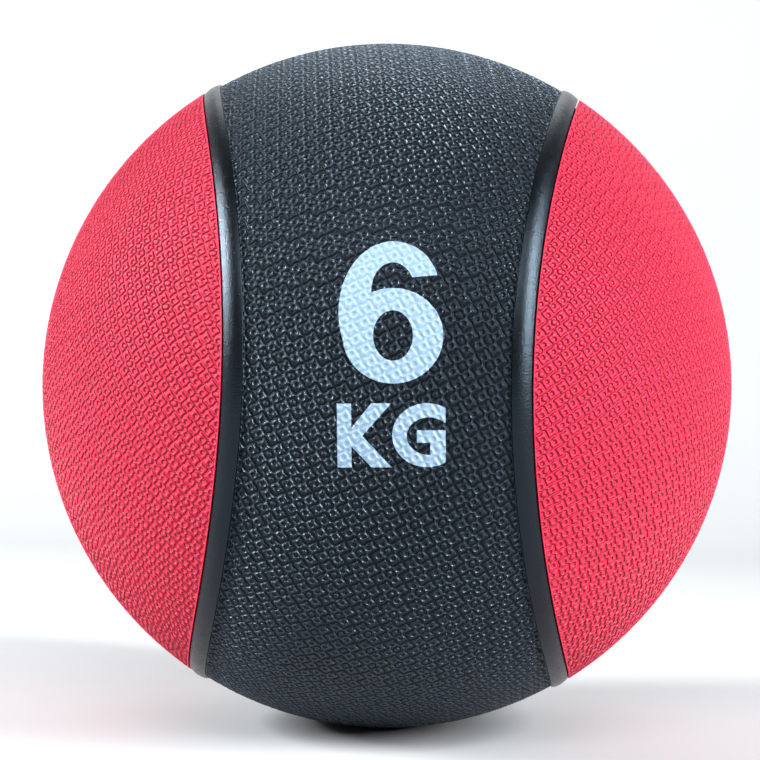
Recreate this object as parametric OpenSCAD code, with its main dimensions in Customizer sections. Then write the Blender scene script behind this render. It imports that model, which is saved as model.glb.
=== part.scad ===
// Rubber medicine ball: two side panels and a centre band over a thick weighted wall.
// The origin is the ball's centre. X runs from side panel to side panel, the marking
// faces -Y, the valve points along +Y, and Z is up.

/* [Ball] */
// Outside diameter over the side panels
ball_d = 230; // [200:5:300]
// How far the centre band's surface lies below the side panels
band_drop = 0.8; // [0.4:0.1:1.2]
// Thickness of the textured cover under the side panels' surface
cover_t = 3; // [3:0.5:5]

/* [Seams] */
// Half width of the centre band at the front, as a share of the ball's radius
seam_front = 0.374; // [0.32:0.01:0.44]
// Radius of the seam's bow, seen from the front, as a share of the ball's radius
seam_bow = 2.2; // [1.8:0.1:3]
// Width of each raised strip
strip_w = 5.8; // [4:0.2:9]
// How far a strip stands above the side panels
strip_proud = 0.2; // [0:0.1:0.5]
// Width of the groove between a strip and its side panel
groove_w = 0.4; // [0.2:0.1:0.8]
// How far a strip's foot reaches under its neighbours on each side
lip_w = 2; // [1:0.5:4]
// Thickness of a strip's foot
lip_t = 1.4; // [0.8:0.2:1.6]

/* [Wall] */
// Thickness of the weighted rubber carcass
carcass_t = 28; // [24:1:34]
// Thickness of the thread winding
winding_t = 1.5; // [1:0.5:2]
// Thickness of the bladder
bladder_t = 1.5; // [1:0.5:2]
// Width of the tongue that joins the carcass halves
tongue_w = 7; // [4:1:9]
// Height of the tongue
tongue_h = 5; // [3:1:8]

/* [Valve] */
// Diameter of the needle hole
needle_d = 2; // [1.6:0.1:2.4]
// Depth of the needle hole
needle_depth = 14; // [10:1:16]
// Diameter of the valve housing's neck
neck_d = 12; // [10:1:14]
// Diameter of the valve housing's head
head_d = 16; // [15:1:20]
// Diameter of the valve housing's flange on the bladder
flange_d = 34; // [26:2:44]
// How far the valve's head lies below the centre band
valve_sink = 0.3; // [0.1:0.1:0.6]

/* [Marking] */
// Height of the number
number_h = 39.7; // [24:0.1:44]
// Height of the unit's letters
unit_h = 17.5; // [10:0.1:20]
// Gap between the number and the unit
mark_gap = 5.4; // [3:0.1:8]
// How far the marking sits to the right of the band's middle
mark_x = 3.9; // [-5:0.1:5]
// Height of the marking's middle above the ball's centre
mark_z = 5.1; // [-5:0.1:8]
// Turn of the marking
mark_tilt = 1.5; // [-5:0.5:5]
// Thickness of the printed ink
ink_t = 0.1; // [0.05:0.05:0.2]

/* [Hidden] */
$fn = 120;

cap_r = ball_d / 2;
band_r = cap_r - band_drop;
strip_r = cap_r + strip_proud;
carcass_r = cap_r - cover_t;
foot_r = carcass_r + lip_t;
winding_r = carcass_r - carcass_t;
bladder_r = winding_r - winding_t;
cavity_r = bladder_r - bladder_t;

// A seam is the edge of a wide cylinder that runs front to back through the side panel.
seam_r = seam_bow * cap_r;
seam_x = seam_front * cap_r + seam_r;
panel_edge_r = seam_r - groove_w;
band_edge_r = seam_r + strip_w;

tongue_r = (winding_r + carcass_r) / 2;
head_top = band_r - valve_sink;
mark_h = number_h + mark_gap + unit_h;

// Soft insert in the valve housing, from its head down to its bulb
insert_top = head_top - 1.2;
insert_head_r = 3.8;
insert_head_h = 2.4;
insert_stem_r = 2.4;
insert_bulb_r = 3.2;
insert_bulb_h = 5;
insert_bottom = insert_top - needle_depth - 6;

// Marking letters are drawn 40 units high, then scaled to their height.
GLYPH_H = 40;
SIX_W = 29;
K_W = 34;
G_W = 33.5;
LETTER_GAP = 0.5;
UNIT_W = K_W + LETTER_GAP + G_W;

// Tools that cut right through are this long, and joined shapes overlap this much.
REACH = 2 * ball_d;
OVERLAP = 1;

// ---- Shared shapes ----

// Hollow ball between two radii
module shell(inner, outer) {
    difference() {
        sphere(r = outer, $fn = 180);
        sphere(r = inner, $fn = 180);
    }
}

// Round bar along Y, from one end to the other
module bar_y(r, from, to) {
    translate([0, to, 0]) rotate([90, 0, 0]) cylinder(r = r, h = to - from);
}

// The seam cylinder on one side, with side -1 at the left and 1 at the right
module seam_body(side, r) {
    translate([side * seam_x, 0, 0])
        rotate([90, 0, 0])
            cylinder(r = r, h = REACH, center = true, $fn = 360);
}

// Both seam cylinders at once
module seam_bodies(r) {
    for (side = [-1, 1]) seam_body(side, r);
}

// Half of space, on the valve's side when side is 1
module half_space(side) {
    translate([0, side * REACH / 2, 0]) cube(REACH, center = true);
}

// Ring round Y that locks the carcass halves together
module tongue() {
    difference() {
        bar_y(tongue_r + tongue_w / 2, -OVERLAP, tongue_h);
        bar_y(tongue_r - tongue_w / 2, -2 * OVERLAP, tongue_h + OVERLAP);
    }
}

// ---- Cover ----

// Side panel: its underside is cut back over the strip's foot
module cap_cover(side) {
    color([1, 0.28, 0.4]) union() {
        intersection() {
            shell(foot_r, cap_r);
            seam_body(side, panel_edge_r);
        }
        intersection() {
            shell(carcass_r, foot_r);
            seam_body(side, seam_r - lip_w);
        }
    }
}

module left_cap_cover() { cap_cover(-1); }

module right_cap_cover() { cap_cover(1); }

// Band round the middle, open at the back for the valve's head
module centre_band_cover() {
    color([0.16, 0.17, 0.2]) difference() {
        union() {
            difference() {
                shell(foot_r, band_r);
                seam_bodies(band_edge_r);
            }
            difference() {
                shell(carcass_r, foot_r);
                seam_bodies(band_edge_r + lip_w);
            }
        }
        bar_y(head_d / 2, 0, REACH);
    }
}

// Raised strip over a seam, with a wider foot under the panel and the band
module strip(side) {
    color([0.07, 0.07, 0.09]) union() {
        intersection() {
            shell(foot_r, strip_r);
            difference() {
                seam_body(side, band_edge_r);
                seam_body(side, seam_r);
            }
        }
        intersection() {
            shell(carcass_r, foot_r);
            difference() {
                seam_body(side, band_edge_r + lip_w);
                seam_body(side, seam_r - lip_w);
            }
        }
    }
}

module left_strip() { strip(-1); }

module right_strip() { strip(1); }

// ---- Marking ----

// Ellipse as a list of points
function oval(cx, cy, rx, ry, n = 60) =
    [for (i = [0 : n - 1]) [cx + rx * cos(360 * i / n), cy + ry * sin(360 * i / n)]];

// Number: an open hook over a closed bowl, with a nearly level cut at the hook's end
module six_outline() {
    middle = 15.1;
    hook_y = 27.2;
    hook_r = 12.7;
    cut_left = 29.2;
    cut_right = 30.4;
    bowl_y = 13.3;
    difference() {
        union() {
            difference() {
                union() {
                    intersection() {
                        polygon(oval(middle, GLYPH_H / 2, middle, GLYPH_H / 2));
                        square([middle, GLYPH_H]);
                    }
                    intersection() {
                        polygon(oval(middle, hook_y, hook_r, GLYPH_H - hook_y));
                        polygon([
                            [middle, cut_left], [SIX_W, cut_right], [SIX_W, GLYPH_H], [middle, GLYPH_H]
                        ]);
                    }
                }
                polygon(oval(middle, 26, 6, 7.9));
            }
            polygon(oval(middle, bowl_y, SIX_W - middle, bowl_y));
        }
        polygon(oval(middle, bowl_y, 5.5, 7));
    }
}

// First letter of the unit: a stem, an arm and a leg
module k_outline() {
    stem = 8.9;
    limb_x = 21.5;
    crotch = [15.8, 19.7];
    leg_y = 13.1;
    arm_y = 24.7;
    polygon([
        [0, 0], [stem, 0], [stem, leg_y], [limb_x, 0], [K_W, 0], crotch,
        [K_W, GLYPH_H], [limb_x, GLYPH_H], [stem, arm_y], [stem, GLYPH_H], [0, GLYPH_H]
    ]);
}

// Second letter of the unit: an open round with a square spur
module g_outline() {
    middle = 22;
    spur_top = 23.1;
    spur_bottom = 15.3;
    spur_left = 15.5;
    bar_left = 23.8;
    mouth_top = 27.8;
    intersection() {
        polygon(oval(middle, GLYPH_H / 2, middle, GLYPH_H / 2));
        union() {
            difference() {
                square([G_W, GLYPH_H]);
                polygon(oval(middle + 1, 19.4, 13.9, 11.8));
                translate([middle, spur_bottom]) square([G_W, mouth_top - spur_bottom]);
            }
            translate([spur_left, spur_bottom]) square([G_W - spur_left, spur_top - spur_bottom]);
            translate([bar_left, 0]) square([G_W - bar_left, spur_top]);
        }
    }
}

// Lays a flat drawing, with its own origin at the marking's middle, on the band as ink
module ink() {
    color([0.8, 0.92, 1]) intersection() {
        shell(band_r, band_r + ink_t);
        translate([mark_x, 0, mark_z])
            rotate([90, 0, 0])
                rotate([0, 0, mark_tilt])
                    linear_extrude(REACH) children();
    }
}

module weight_number() {
    s = number_h / GLYPH_H;
    ink() translate([-s * SIX_W / 2, mark_h / 2 - number_h]) scale(s) six_outline();
}

module weight_unit() {
    s = unit_h / GLYPH_H;
    ink() translate([-s * UNIT_W / 2, -mark_h / 2]) scale(s) {
        k_outline();
        translate([K_W + LETTER_GAP, 0]) g_outline();
    }
}

// ---- Weighted wall ----

module carcass_front() {
    color([0.24, 0.24, 0.25]) intersection() {
        shell(winding_r, carcass_r);
        union() {
            half_space(-1);
            tongue();
        }
    }
}

module carcass_back() {
    color([0.3, 0.3, 0.31]) difference() {
        intersection() {
            shell(winding_r, carcass_r);
            half_space(1);
        }
        tongue();
        bar_y(neck_d / 2, 0, REACH);
    }
}

// Wound nylon layer, open where the valve's flange sits on the bladder
module thread_winding() {
    color([0.86, 0.84, 0.76]) difference() {
        rotate([90, 0, 0]) shell(bladder_r, winding_r);
        bar_y(flange_d / 2, 0, REACH);
    }
}

module bladder() {
    color([0.12, 0.12, 0.12]) difference() {
        shell(cavity_r, bladder_r);
        bar_y(needle_d / 2, 0, REACH);
    }
}

// ---- Valve ----

// Outside of the insert, round Y: bulb, stem and head
module insert_body() {
    bar_y(insert_bulb_r, insert_bottom, insert_bottom + insert_bulb_h);
    bar_y(insert_stem_r, insert_bottom + insert_bulb_h - OVERLAP, insert_top - OVERLAP);
    bar_y(insert_head_r, insert_top - insert_head_h, insert_top);
}

// Flange on the bladder, neck through the carcass and head just below the band
module valve_housing() {
    color([0.1, 0.1, 0.11]) difference() {
        union() {
            intersection() {
                shell(bladder_r, winding_r);
                bar_y(flange_d / 2, 0, REACH);
            }
            intersection() {
                shell(winding_r - winding_t / 2, carcass_r);
                bar_y(neck_d / 2, 0, REACH);
            }
            intersection() {
                shell(carcass_r, head_top);
                bar_y(head_d / 2, 0, REACH);
            }
        }
        insert_body();
        bar_y(insert_head_r, insert_top - OVERLAP, REACH);
        bar_y(needle_d / 2, 0, insert_top);
    }
}

module valve_insert() {
    color([0.55, 0.52, 0.46]) difference() {
        insert_body();
        bar_y(needle_d / 2, insert_top - needle_depth, insert_top + OVERLAP);
    }
}

left_cap_cover();
right_cap_cover();
centre_band_cover();
left_strip();
right_strip();
weight_number();
weight_unit();
carcass_front();
carcass_back();
thread_winding();
bladder();
valve_housing();
valve_insert();
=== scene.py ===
"""Looks of the rubber medicine ball: moulded panels, seam strips, printed marking, valve and stage.

The ball's centre is the origin. X runs from side panel to side panel, the marking faces -Y and Z is up.
"""

import math

import bpy
import numpy as np
from mathutils import Matrix, Vector
from numpy.lib.mixins import NDArrayOperatorsMixin


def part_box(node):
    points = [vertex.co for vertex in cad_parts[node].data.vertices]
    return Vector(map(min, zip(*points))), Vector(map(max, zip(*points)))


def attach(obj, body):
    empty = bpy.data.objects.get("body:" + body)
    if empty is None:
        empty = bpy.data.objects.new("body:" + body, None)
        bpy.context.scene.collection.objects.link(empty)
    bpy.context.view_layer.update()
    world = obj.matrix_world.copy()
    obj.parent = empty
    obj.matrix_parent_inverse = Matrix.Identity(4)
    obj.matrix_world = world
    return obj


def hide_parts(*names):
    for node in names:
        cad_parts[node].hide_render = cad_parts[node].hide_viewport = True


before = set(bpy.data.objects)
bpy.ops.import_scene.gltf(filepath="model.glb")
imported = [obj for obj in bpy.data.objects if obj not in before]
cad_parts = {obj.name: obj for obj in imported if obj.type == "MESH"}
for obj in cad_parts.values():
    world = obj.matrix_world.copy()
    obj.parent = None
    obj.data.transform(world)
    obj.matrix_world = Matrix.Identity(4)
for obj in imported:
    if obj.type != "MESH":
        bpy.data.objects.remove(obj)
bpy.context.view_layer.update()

MM = 0.001

# ---- Sizes: the radii come from the frame, the rest repeats the part's own design ----

CAP_R = round(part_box("right_cap_cover")[1].x, 4)
BAND_R = round(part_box("centre_band_cover")[1].z, 4)

# A seam is the edge of a wide cylinder that runs front to back through the side panel
SEAM_FRONT = 0.374
SEAM_BOW = 2.2
STRIP_W = 5.8 * MM
STRIP_PROUD = 0.2 * MM
GROOVE_W = 0.4 * MM
SEAM_R = SEAM_BOW * CAP_R
SEAM_X = SEAM_FRONT * CAP_R + SEAM_R
STRIP_R = CAP_R + STRIP_PROUD
CAP_EDGE = SEAM_R - GROOVE_W
BAND_EDGE = SEAM_R + STRIP_W

# Edges: their rounding, how far they go down into the grooves, and how far a strip's sides curve down
EDGE_ROUND = 0.25 * MM
EDGE_DEPTH = 1.3 * MM
STRIP_CROWN = 0.5 * MM
STRIP_CAP_DEPTH = 1.4 * MM
STRIP_BAND_DEPTH = 2.4 * MM

# Valve: the band's hole for it, the plain pad round the hole and the height of the hole's wall
VALVE_R = 8 * MM
PAD_R = 12 * MM
VALVE_WALL = 1.5 * MM

# Ink: the CAD layer's thickness, how far the print stands proud, its share of the band's relief, and
# how far the CAD layer is stretched in and out to cut the print
INK_T = 0.1 * MM
INK_LIFT = 0.05 * MM
INK_SHARE = 0.5
CUTTER_STRETCH = 40

# Moulded pattern: the meshes have its real depth, and the bump is deeper to give the slopes contrast.
# It fades out towards a plain rim along each panel's edge.
MESH_DEPTH = 0.4 * MM
BUMP_DEPTH = 0.9 * MM
RIM_W = 0.3 * MM
RIM_FADE = 0.2 * MM

# Lattice of the pattern: how many cells go round the band and how many it shifts sideways in one
# turn, then the side panels' cells, their turn, and the angle from the ball's front to their centre
BAND_CELLS_AROUND = 97
BAND_CELLS_SHIFTED = 7
BAND_CELL_ACROSS = math.radians(3.95)
CAP_CELL = math.radians(3.72)
CAP_TURN = math.radians(10)
CAP_CENTRE = math.radians(65)

# Shape of one cell of the pattern, in cell widths. CRISP and SOFT are half a slope's width in the
# bump and in the meshes.
CHANNEL_WAVES = (0.127, 0.067, 0.024)
CHANNEL_W = 0.062
BOSS_R = 0.1
PIT_R = 0.095
PIT_REACH = 0.37
PIT_TURN = math.radians(28)
FLOWER_R = 0.225
FLOWER_LOBE = 0.035
FLOWER_TURN = math.radians(70)
CRISP = 0.06
SOFT = 0.065

# Mesh grids, with about 11 points or more to a cell of the pattern
CAP_GRID = 401
BAND_GRID_AROUND = 1200
BAND_GRID_ACROSS = 185
STRIP_GRID_AROUND = 900
STRIP_GRID_CROWN = 19
INK_GRID_STEP = 0.3 * MM
INK_GRID_MARGIN = 1 * MM

# Tints of the black rubber's reflections and of the lights
BLUE_SHINE = (0.6, 0.8, 1.0)
STUDIO_TINT = (0.93, 0.97, 1.0)

# These bring the crest's tone, which carries the painted highlight, to 1 at its peak, and widen the foot's
# tone, which carries the painted shade
CREST_GAIN = 6.75
FOOT_GAIN = 14


# ---- One formula for meshes and materials ----

class Signal(NDArrayOperatorsMixin):
    """A value at each shading point. numpy's functions work on it and add Math nodes.

    So one formula serves a mesh's points and a material. It writes 0 - y for minus y, because a
    Math node has no sign change.
    """

    NODE_OF = {
        np.add: "ADD", np.subtract: "SUBTRACT", np.multiply: "MULTIPLY", np.divide: "DIVIDE",
        np.minimum: "MINIMUM", np.maximum: "MAXIMUM", np.absolute: "ABSOLUTE", np.floor: "FLOOR",
        np.sqrt: "SQRT", np.sin: "SINE", np.cos: "COSINE", np.arcsin: "ARCSINE", np.arctan2: "ARCTAN2",
    }

    def __init__(self, socket):
        self.socket = socket

    def __array_ufunc__(self, ufunc, method, *inputs):
        tree = self.socket.id_data
        node = tree.nodes.new("ShaderNodeMath")
        node.operation = self.NODE_OF[ufunc]
        for slot, value in zip(node.inputs, inputs):
            if isinstance(value, Signal):
                tree.links.new(value.socket, slot)
            else:
                slot.default_value = float(value)
        return Signal(node.outputs[0])


def length(*parts):
    """Length of the vector with these parts."""
    return np.sqrt(sum(part * part for part in parts))


def ramp(distance, half_width):
    """Rises smoothly from 0 to 1 as distance goes from -half_width to half_width."""
    t = np.minimum(np.maximum(distance / (2 * half_width) + 0.5, 0), 1)
    return t * t * (3 - 2 * t)


# ---- The moulded pattern ----

def wave(along):
    """How far a channel swings from its straight line."""
    return sum(a * np.sin(math.tau * k * along) for k, a in enumerate(CHANNEL_WAVES, 1))


def wave_slope(along):
    """How fast that swing changes along the channel."""
    return sum(math.tau * k * a * np.cos(math.tau * k * along) for k, a in enumerate(CHANNEL_WAVES, 1))


def channel_distance(across, along, swing):
    """Distance to the nearest of the wavy channels that run halfway between the bosses."""
    offset = across - 0.5 - swing * wave(along)
    slope = wave_slope(along)
    return np.absolute(offset - np.floor(offset + 0.5)) / np.sqrt(slope * slope + 1)


def pattern_height(u, v, half_width):
    """Height from 0 to 1 at cell coordinates (u, v): channels, four pits, and a boss in a lobed recess."""
    x = u - np.floor(u + 0.5)
    y = v - np.floor(v + 0.5)
    channel = np.minimum(channel_distance(u, v, 1), channel_distance(v, u, -1))
    px = PIT_REACH * math.cos(PIT_TURN)
    py = PIT_REACH * math.sin(PIT_TURN)
    pit = length(x - px, y - py)
    for qx, qy in ((-py, px), (-px, -py), (py, -px)):
        pit = np.minimum(pit, length(x - qx, y - qy))
    radius = length(x, y)
    lobes = np.cos(4 * (np.arctan2(y, x) - FLOWER_TURN))
    flower = ramp(FLOWER_R + FLOWER_LOBE * lobes - radius, half_width)
    boss = ramp(BOSS_R - radius, half_width)
    plateau = np.minimum(ramp(channel - CHANNEL_W, half_width), ramp(pit - PIT_R, half_width))
    return np.minimum(plateau, 1 - flower * (1 - boss))


def band_cells(x, y, z):
    """Cell coordinates on the band: a lattice wound round the X axis that closes on itself."""
    pitch_turn = math.asin(BAND_CELLS_SHIFTED * BAND_CELL_ACROSS / math.tau)
    cell_along = math.tau * math.cos(pitch_turn) / BAND_CELLS_AROUND
    across = np.arcsin(x / length(x, y, z))
    along = np.arctan2(z, 0 - y)
    u = (across * math.cos(pitch_turn) + along * math.sin(pitch_turn)) / BAND_CELL_ACROSS
    v = (along * math.cos(pitch_turn) - across * math.sin(pitch_turn)) / cell_along
    return u, v


def cap_cells(side):
    """Cell coordinates on a side panel: a flat lattice laid on the ball from a centre on its front half."""
    def cells(x, y, z):
        east = x * math.cos(CAP_CENTRE) + side * y * math.sin(CAP_CENTRE)
        ahead = side * x * math.sin(CAP_CENTRE) - y * math.cos(CAP_CENTRE)
        sideways = np.maximum(length(east, z), 0.001 * MM)
        spread = np.arctan2(sideways, ahead) / sideways / CAP_CELL
        u = spread * (east * math.cos(CAP_TURN) + z * math.sin(CAP_TURN))
        v = spread * (z * math.cos(CAP_TURN) - east * math.sin(CAP_TURN))
        return u, v
    return cells


def inside_cap(x, y, z):
    """Distance in from the side panels' edge."""
    return CAP_EDGE - length(np.absolute(x) - SEAM_X, z)


def inside_band(x, y, z):
    """Distance in from the band's edges and from the pad round the valve."""
    from_seam = length(np.absolute(x) - SEAM_X, z) - BAND_EDGE
    from_pad = np.maximum(length(x, z) - PAD_R, 0 - y)
    return np.minimum(from_seam, from_pad)


def panel_height(point, cells, inside, half_width):
    """Height from 0 to 1 of a panel's surface, with a plain rim along its edges."""
    textured = ramp(inside(*point) - RIM_W, RIM_FADE)
    return 1 - (1 - pattern_height(*cells(*point), half_width)) * textured


# ---- Meshes ----

def ball_points(side, polar, turn, radius):
    """Points on a ball, at an angle polar from the X axis. turn is 0 at the top and 90 degrees in front."""
    directions = np.stack([
        side * np.cos(polar),
        -np.sin(polar) * np.sin(turn),
        np.sin(polar) * np.cos(turn),
    ], axis=-1)
    return directions * radius


def seam_polar(turn, seam_r, ball_r):
    """Angle from the X axis at which a ball of radius ball_r meets a seam cylinder of radius seam_r."""
    q = SEAM_X ** 2 + (ball_r * np.cos(turn)) ** 2 - seam_r ** 2
    root = np.sqrt(SEAM_X ** 2 - np.sin(turn) ** 2 * q)
    return np.arccos(q / (ball_r * (SEAM_X + root)))


def seam_points(side, turn, seam_r, ball_r):
    """Points where a ball meets a seam cylinder."""
    return ball_points(side, seam_polar(turn, seam_r, ball_r), turn, ball_r)


def quads(rows, columns, wrap=False):
    """Faces of a grid of points numbered row by row. wrap joins the last column to the first."""
    row, column = np.meshgrid(np.arange(rows - 1), np.arange(columns - (not wrap)), indexing="ij")
    here = row * columns + column
    beside = row * columns + (column + 1) % columns
    corners = [here, beside, beside + columns, here + columns]
    return np.stack([corner.ravel() for corner in corners], axis=1)


def border(rows, columns):
    """Numbers of the points round the outline of such a grid, in order."""
    index = np.arange(rows * columns).reshape(rows, columns)
    return np.concatenate([index[0, :-1], index[:-1, -1], index[-1, :0:-1], index[:0:-1, 0]])


def piece(name, points, faces, material, slot, *nodes):
    """Adds a smooth mesh piece that rides on the ball, in place of the named CAD nodes."""
    points = points.reshape(-1, 3)
    corners = points[faces]
    normals = np.cross(corners[:, 1] - corners[:, 0], corners[:, 2] - corners[:, 0])
    if (normals * corners[:, 0]).sum() < 0:
        faces = faces[:, ::-1]
    mesh = bpy.data.meshes.new(name)
    mesh.from_pydata(points, [], faces)
    mesh.polygons.foreach_set("use_smooth", [True] * len(mesh.polygons))
    mesh.materials.append(material)
    obj = bpy.data.objects.new(name, mesh)
    bpy.context.scene.collection.objects.link(obj)
    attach(obj, "root")
    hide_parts(*nodes)
    return obj


def pressed(points, cells, inside, share=1):
    """Points on a plain ball, moved in by the pattern or by a share of its depth."""
    height = panel_height(np.moveaxis(points, -1, 0), cells, inside, SOFT)
    radius = np.linalg.norm(points, axis=-1)
    depth = share * MESH_DEPTH * (1 - height)
    return points * (1 - depth / radius)[..., None]


def rounding():
    """A rounded edge from the top down: offsets in from the edge and drops below the surface."""
    angles = np.radians([30, 60, 90])
    return [(EDGE_ROUND * (1 - math.sin(a)), EDGE_ROUND * (1 - math.cos(a))) for a in angles]


def edge_rows(side, turn, edge, inwards, ball_r):
    """Rows that round a panel's edge and go down into the groove. inwards is the way into the panel."""
    rows = [seam_points(side, turn, edge + inwards * offset, ball_r - drop) for offset, drop in rounding()]
    return [*rows, seam_points(side, turn, edge, ball_r - EDGE_DEPTH)]


def square_to_disc(a, b):
    """Maps a square of side 2 to a disc, as (radius, angle), with even spacing and no pole."""
    radius = np.maximum(np.abs(a), np.abs(b))
    wide = np.abs(a) >= np.abs(b)
    ratio = np.where(wide, b, a) / np.where(radius == 0, 1, np.where(wide, a, b))
    angle = np.where(wide, math.pi / 4 * ratio, math.pi / 2 - math.pi / 4 * ratio)
    return radius, angle + math.pi * (np.where(wide, a, b) < 0)


def cap(side, name, material):
    """Side panel: a square grid bent to the panel's outline, with a rounded edge."""
    line = np.linspace(-1, 1, CAP_GRID)
    radius, turn = square_to_disc(*np.meshgrid(line, line, indexing="ij"))
    polar = radius * seam_polar(turn, CAP_EDGE - EDGE_ROUND, CAP_R)
    panel = pressed(ball_points(side, polar, turn, CAP_R), cap_cells(side), inside_cap).reshape(-1, 3)
    rim = border(CAP_GRID, CAP_GRID)
    rows = edge_rows(side, turn.ravel()[rim], CAP_EDGE, -1, CAP_R)
    skirt = quads(len(rows) + 1, len(rim), wrap=True)
    numbers = np.concatenate([rim, len(panel) + np.arange(len(rows) * len(rim))])
    points = np.concatenate([panel, *rows])
    faces = np.concatenate([quads(CAP_GRID, CAP_GRID), numbers[skirt][:, ::-1]])
    piece(name, points, faces, material, "red_rubber", name + "_cover")


def band(material):
    """Centre band: rows that run round the X axis, with rounded edges and a hole for the valve."""
    turn = np.linspace(0, math.tau, BAND_GRID_AROUND, endpoint=False)
    edge_polar = seam_polar(turn, BAND_EDGE + EDGE_ROUND, BAND_R)
    share = np.linspace(-1, 1, BAND_GRID_ACROSS)[:, None]
    polar = math.pi / 2 + share * (math.pi / 2 - edge_polar)
    panel = pressed(ball_points(1, polar, turn, BAND_R), band_cells, inside_band)
    right = edge_rows(1, turn, BAND_EDGE, 1, BAND_R)
    left = edge_rows(-1, turn, BAND_EDGE, 1, BAND_R)
    rows = np.concatenate([right[::-1], panel, left])
    points, faces = open_for_valve(rows.reshape(-1, 3), quads(len(rows), BAND_GRID_AROUND, wrap=True))
    piece("centre_band", points, faces, material, "black_rubber", "centre_band_cover")


def open_for_valve(points, faces):
    """Cuts the valve's hole in the band: the rim moves onto the circle and a short wall goes down from it."""
    hub = (np.hypot(points[:, 0], points[:, 2]) < VALVE_R) & (points[:, 1] > 0)
    kept = ~hub[faces].any(axis=1)
    rim = np.intersect1d(faces[kept], faces[~kept])
    points[rim] = valve_rim(points[rim])
    rim = rim[np.argsort(np.arctan2(points[rim, 2], points[rim, 0]))]
    sunk = points[rim] - (0, VALVE_WALL, 0)
    numbers = np.concatenate([rim, len(points) + np.arange(len(rim))])
    wall = numbers[quads(2, len(rim), wrap=True)]
    return np.concatenate([points, sunk]), np.concatenate([faces[kept], wall])


def valve_rim(points):
    """Moves points to the rim of the valve's hole, on the ball."""
    distance = np.hypot(points[:, 0], points[:, 2])
    x = points[:, 0] * VALVE_R / distance
    z = points[:, 2] * VALVE_R / distance
    y = np.full_like(x, math.sqrt(BAND_R ** 2 - VALVE_R ** 2))
    return np.stack([x, y, z], axis=1)


def strip_outline():
    """A strip's profile from the side panel to the band: offsets across it and drops below its crest."""
    crown = np.linspace(EDGE_ROUND, STRIP_W - EDGE_ROUND, STRIP_GRID_CROWN)
    half = STRIP_W / 2
    sink = [STRIP_CROWN * ((offset - half) / half) ** 2 for offset in crown]
    cap_side = [(offset, drop + sink[0]) for offset, drop in rounding()[::-1]]
    band_side = [(STRIP_W - offset, drop) for offset, drop in cap_side[::-1]]
    top = [*cap_side, *zip(crown, sink), *band_side]
    return [(0, STRIP_CAP_DEPTH), *top, (STRIP_W, STRIP_BAND_DEPTH)]


def strip(side, name, material):
    """Raised strip: a crowned profile swept along the seam."""
    turn = np.linspace(0, math.tau, STRIP_GRID_AROUND, endpoint=False)
    rows = [seam_points(side, turn, SEAM_R + offset, STRIP_R - drop) for offset, drop in strip_outline()]
    faces = quads(len(rows), len(turn), wrap=True)
    piece(name + "_moulding", np.stack(rows), faces, material, "strip_rubber", name)


# ---- Materials ----

def linear(level):
    """Linear value of an sRGB level. Both go from 0 to 1."""
    return level / 12.92 if level <= 0.04045 else ((level + 0.055) / 1.055) ** 2.4


def srgb(red, green, blue):
    """Linear colour from sRGB values of 0 to 255."""
    return (linear(red / 255), linear(green / 255), linear(blue / 255), 1)


class Paint:
    """A material with its Principled shader, and the few nodes that the materials below share."""

    def __init__(self, name, roughness=0.5, specular=0.5, sheen=0.0, shine=(1, 1, 1)):
        self.material = bpy.data.materials.new(name)
        self.material.use_nodes = True
        self.tree = self.material.node_tree
        self.shader = self.tree.nodes["Principled BSDF"]
        self.shader.inputs["Roughness"].default_value = roughness
        self.shader.inputs["Specular IOR Level"].default_value = specular
        self.shader.inputs["Sheen Weight"].default_value = sheen
        self.shader.inputs["Specular Tint"].default_value = (*shine, 1)
        coordinates = self.tree.nodes.new("ShaderNodeTexCoord")
        self.place = coordinates.outputs["Object"]

    def point(self):
        """The shaded point's coordinates."""
        split = self.tree.nodes.new("ShaderNodeSeparateXYZ")
        self.tree.links.new(self.place, split.inputs[0])
        return [Signal(output) for output in split.outputs]

    def noise(self, size, detail=3):
        """Noise from 0 to 1 whose blotches are about as big as size, in metres."""
        node = self.tree.nodes.new("ShaderNodeTexNoise")
        node.inputs["Scale"].default_value = 1 / size
        node.inputs["Detail"].default_value = detail
        self.tree.links.new(self.place, node.inputs["Vector"])
        return Signal(node.outputs[0])

    def blend(self, share, first, second):
        """Colour that goes from first to second as share goes from 0 to 1. Each is a colour or a socket."""
        node = self.tree.nodes.new("ShaderNodeMix")
        node.data_type = "RGBA"
        self.tree.links.new(share.socket, node.inputs[0])
        # A Mix node's colour sockets are inputs 6 and 7 and output 2
        for slot, value in ((node.inputs[6], first), (node.inputs[7], second)):
            if isinstance(value, bpy.types.NodeSocket):
                self.tree.links.new(value, slot)
            else:
                slot.default_value = value
        return node.outputs[2]

    def colour(self, socket):
        self.tree.links.new(socket, self.shader.inputs["Base Color"])

    def roughness(self, signal):
        self.tree.links.new(signal.socket, self.shader.inputs["Roughness"])

    def specular(self, signal):
        self.tree.links.new(signal.socket, self.shader.inputs["Specular IOR Level"])

    def bump(self, height, depth):
        """Adds a bump of a height from 0 to 1 and a depth in metres, on top of any earlier one."""
        node = self.tree.nodes.new("ShaderNodeBump")
        node.inputs["Distance"].default_value = depth
        self.tree.links.new(height.socket, node.inputs["Height"])
        if self.shader.inputs["Normal"].links:
            self.tree.links.new(self.shader.inputs["Normal"].links[0].from_socket, node.inputs["Normal"])
        self.tree.links.new(node.outputs[0], self.shader.inputs["Normal"])


def moulded(paint, cells, inside, share=1):
    """Adds the crisp pattern as a bump. Returns how far a point is at a slope's foot and at its crest: the
    masks of the painted shade and the painted highlight.
    """
    height = panel_height(paint.point(), cells, inside, CRISP)
    paint.bump(height, BUMP_DEPTH * share)
    foot = np.minimum(FOOT_GAIN * height * (1 - height) * (1 - height), 1)
    crest = CREST_GAIN * height * height * (1 - height)
    return foot, crest


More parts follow.
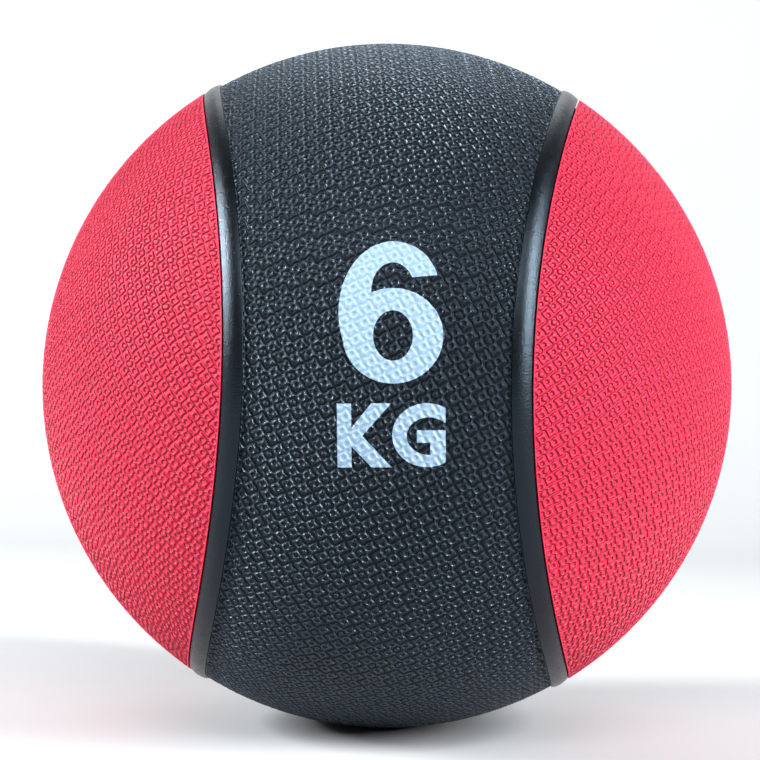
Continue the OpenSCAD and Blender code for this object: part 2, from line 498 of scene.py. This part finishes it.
def red_rubber(side):
    """Coral red moulded rubber, with painted shade at the foot of each slope and a painted highlight on the
    crests.
    """
    paint = Paint("red_rubber_left" if side < 0 else "red_rubber_right", specular=0.25)
    foot, crest = moulded(paint, cap_cells(side), inside_cap)
    paint.bump(paint.noise(0.5 * MM), 0.02 * MM)
    body = paint.blend(paint.noise(35 * MM), srgb(228, 28, 66), srgb(242, 38, 77))
    # Painted shade: a deep red at the foot of each slope, where the relief is in shade.
    shaded = paint.blend(foot, body, srgb(140, 2, 24))
    # Painted highlight: a lighter red on the crests of the relief.
    paint.colour(paint.blend(crest * 0.25, shaded, srgb(252, 96, 126)))
    paint.roughness(0.44 + 0.12 * paint.noise(6 * MM))
    return paint.material


def black_rubber():
    """Black moulded rubber: painted shade at the foot of each slope, which is also rougher and less shiny,
    and a painted grey-blue highlight on the crests, which are also smoother and shinier.
    """
    paint = Paint("black_rubber_band", shine=BLUE_SHINE)
    foot, crest = moulded(paint, band_cells, inside_band)
    paint.bump(paint.noise(0.4 * MM), 0.015 * MM)
    body = paint.blend(paint.noise(25 * MM), srgb(3, 4, 5), srgb(8, 9, 12))
    # Painted shade: near black at the foot of each slope, where the grooves are in shade.
    shaded = paint.blend(foot, body, srgb(1, 1, 2))
    # Painted highlight: a grey-blue tint on the crests of the relief.
    paint.colour(paint.blend(crest * 0.06, shaded, srgb(140, 156, 180)))
    paint.roughness(0.22 + 0.3 * foot - 0.1 * crest + 0.1 * paint.noise(8 * MM))
    paint.specular(0.3 - 0.3 * foot + 0.8 * crest)
    return paint.material


def strip_rubber():
    """Plain black rubber with a fine grain and a gloss that varies a little."""
    paint = Paint("strip_rubber_plain", specular=0.3, shine=BLUE_SHINE)
    paint.bump(paint.noise(0.5 * MM, detail=4), 0.12 * MM)
    paint.colour(paint.blend(paint.noise(12 * MM), srgb(5, 6, 8), srgb(12, 13, 16)))
    paint.roughness(0.2 + 0.12 * paint.noise(3 * MM))
    return paint.material


def marking_ink():
    """Pale blue print that follows the band's pattern, with painted shade at the foot of each slope and a
    painted highlight on the crests.
    """
    paint = Paint("marking_ink_print", roughness=0.55, specular=0.25)
    foot, crest = moulded(paint, band_cells, inside_band, share=0.25)
    cover = paint.blend(paint.noise(3 * MM), srgb(126, 150, 172), srgb(136, 159, 180))
    # Painted shade: a darker blue at the foot of each slope.
    ink_with_painted_shade = paint.blend(foot * 0.16, cover, srgb(114, 142, 164))
    # Painted highlight: a paler blue on the crests.
    paint.colour(paint.blend(crest * 0.15, ink_with_painted_shade, srgb(200, 226, 240)))
    return paint.material


def inner_rubber(name, dark, light, roughness, grain):
    """Rubber with specks of filler, for the wall, the bladder and the valve."""
    paint = Paint(name, roughness=roughness)
    specks = paint.noise(grain, detail=5)
    paint.bump(specks, 0.12 * grain)
    paint.colour(paint.blend(specks, srgb(*dark), srgb(*light)))
    return paint.material


def thread():
    """Nylon thread wound closely round the ball in two crossing directions."""
    paint = Paint("nylon_thread_winding", roughness=0.6, sheen=0.3)
    x, y, z = paint.point()
    turns = math.tau / (1.2 * MM)
    lean = 0.4
    one_way = np.sin((x + lean * z) * turns)
    other_way = np.sin((z - lean * y) * turns)
    crossing = ramp(paint.noise(20 * MM) - 0.5, 0.05)
    strands = (one_way * crossing + other_way * (1 - crossing)) * 0.5 + 0.5
    paint.bump(strands, 0.3 * MM)
    # Painted shade and painted highlight: darker in the hollows between strands, lighter on their tops.
    paint.colour(paint.blend(strands, srgb(176, 168, 146), srgb(228, 222, 204)))
    return paint.material


def repaint(node, material):
    """Gives a CAD node that stays a finished material."""
    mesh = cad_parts[node].data
    mesh.materials.clear()
    mesh.materials.append(material)


# ---- Marking ----

def printed(node, material):
    """Ink that half fills the pattern: a slab pressed like the band, cut to the CAD outline."""
    low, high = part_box(node)
    xs = np.arange(low.x - INK_GRID_MARGIN, high.x + INK_GRID_MARGIN, INK_GRID_STEP)
    zs = np.arange(low.z - INK_GRID_MARGIN, high.z + INK_GRID_MARGIN, INK_GRID_STEP)
    x, z = np.meshgrid(xs, zs, indexing="ij")
    on_band = np.stack([x, -np.sqrt(BAND_R ** 2 - x ** 2 - z ** 2), z], axis=-1)
    top = pressed(on_band, band_cells, inside_band, INK_SHARE) * (1 + INK_LIFT / BAND_R)
    bottom = pressed(on_band, band_cells, inside_band) * (1 - 2 * INK_LIFT / BAND_R)
    grid = quads(*x.shape)
    rim = border(*x.shape)
    after = np.roll(rim, -1)
    wall = np.stack([rim, rim + x.size, after + x.size, after], axis=1)
    points = np.concatenate([top.reshape(-1, 3), bottom.reshape(-1, 3)])
    faces = np.concatenate([grid, grid[:, ::-1] + x.size, wall])
    slab = piece(node + "_ink", points, faces, material, "marking_ink", node)
    cut_to(slab, outline_of(node))
    slab.data.set_sharp_from_angle(angle=math.radians(50))


def outline_of(node):
    """A copy of a thin CAD node, stretched in and out so that it cuts right through the ink."""
    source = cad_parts[node]
    mesh = source.data.copy()
    middle = BAND_R + INK_T / 2
    for vertex in mesh.vertices:
        radius = vertex.co.length
        vertex.co *= (middle + CUTTER_STRETCH * (radius - middle)) / radius
    obj = bpy.data.objects.new("cutter_" + node, mesh)
    bpy.context.scene.collection.objects.link(obj)
    return obj


def cut_to(obj, cutter):
    """Keeps the part of obj inside cutter, and removes cutter."""
    weld = cutter.modifiers.new("weld", "WELD")
    weld.merge_threshold = 0.001 * MM
    modifier = obj.modifiers.new("cut", "BOOLEAN")
    modifier.operation = "INTERSECT"
    modifier.object = cutter
    modifier.solver = "EXACT"
    bpy.context.view_layer.update()
    evaluated = obj.evaluated_get(bpy.context.evaluated_depsgraph_get())
    result = bpy.data.meshes.new_from_object(evaluated)
    obj.modifiers.clear()
    result.name = obj.data.name + "_cut"
    obj.data = result
    bpy.data.objects.remove(cutter)


# ---- Stage ----

def stage(ball_bottom):
    """Pale floor that curves up into a backdrop, as one sheet."""
    half_width = 3.0
    front = -2.2
    back = 1.6
    top = 3.2
    bend = 0.7
    profile = [(front, 0), (back - bend, 0)]
    for angle in np.radians(np.arange(5, 91, 5)):
        profile.append((back - bend + bend * math.sin(angle), bend - bend * math.cos(angle)))
    profile.append((back, top))
    points = np.array([[(side * half_width, y, z + ball_bottom) for side in (-1, 1)] for y, z in profile])
    mesh = bpy.data.meshes.new("floor")
    mesh.from_pydata(points.reshape(-1, 3), [], quads(len(profile), 2))
    mesh.polygons.foreach_set("use_smooth", [True] * len(mesh.polygons))
    paint = Paint("floor_paper", roughness=0.9, specular=0.1)
    paint.colour(paint.blend(paint.noise(0.4), (0.46, 0.46, 0.46, 1), (0.5, 0.5, 0.5, 1)))
    mesh.materials.append(paint.material)
    floor = bpy.data.objects.new("floor", mesh)
    bpy.context.scene.collection.objects.link(floor)


def softbox(name, place, size, power):
    """Rectangular light that looks at the ball."""
    data = bpy.data.lights.new(name, "AREA")
    data.shape = "RECTANGLE"
    data.size, data.size_y = size
    data.energy = power
    data.color = STUDIO_TINT
    lamp = bpy.data.objects.new(name, data)
    lamp.location = place
    lamp.rotation_euler = Vector(place).to_track_quat("Z", "Y").to_euler()
    bpy.context.scene.collection.objects.link(lamp)


def lights():
    """A strong light on each side, weak ones in front and behind, and a faint even glow."""
    softbox("right", (1.55, -0.85, 0.85), (0.4, 1.2), 90)
    softbox("left", (-1.75, -0.25, 0.85), (0.7, 0.7), 90)
    softbox("front", (0.1, -1.9, 1.7), (1.6, 0.8), 34)
    softbox("back", (0.0, 1.1, 1.5), (1.4, 0.8), 6)
    world = bpy.data.worlds.new("studio")
    bpy.context.scene.world = world
    world.use_nodes = True
    background = world.node_tree.nodes["Background"]
    background.inputs["Color"].default_value = (0.9, 0.95, 1.0, 1)
    background.inputs["Strength"].default_value = 0.12


def camera():
    """Camera at arm's length, a little to the right of the marking and just below the ball's middle."""
    place = Vector((15.34, -574.46, -19.67)) * MM
    data = bpy.data.cameras.new("camera")
    data.lens = 80
    data.sensor_width = 36
    data.shift_x = -0.0092
    data.shift_y = 0.0075
    obj = bpy.data.objects.new("camera", data)
    back = place.normalized()
    roll = math.radians(-1.26)
    right = Vector((0, 0, 1)).cross(back).normalized()
    up = back.cross(right)
    rolled_right = right * math.cos(roll) - up * math.sin(roll)
    rolled_up = back.cross(rolled_right)
    obj.matrix_world = Matrix((rolled_right, rolled_up, back)).transposed().to_4x4()
    obj.location = place
    bpy.context.scene.collection.objects.link(obj)
    bpy.context.scene.camera = obj


# ---- Build ----

bpy.context.scene.view_settings.view_transform = "Standard"

camera()
lights()
stage(-BAND_R)

cap(-1, "left_cap", red_rubber(-1))
cap(1, "right_cap", red_rubber(1))
band(black_rubber())
plain_strip = strip_rubber()
strip(-1, "left_strip", plain_strip)
strip(1, "right_strip", plain_strip)
print_ink = marking_ink()
for node in ("weight_number", "weight_unit"):
    printed(node, print_ink)

repaint("valve_housing", inner_rubber("valve_rubber_smooth", (22, 22, 24), (36, 36, 40), 0.45, 0.6 * MM))
repaint("valve_insert", inner_rubber("insert_rubber_soft", (120, 112, 98), (146, 138, 122), 0.55, 0.8 * MM))
wall_rubber = inner_rubber("filled_rubber_wall", (40, 40, 42), (74, 73, 72), 0.7, 1.5 * MM)
repaint("carcass_front", wall_rubber)
repaint("carcass_back", wall_rubber)
repaint("thread_winding", thread())
repaint("bladder", inner_rubber("butyl_rubber_skin", (16, 16, 16), (26, 26, 27), 0.35, 2.5 * MM))
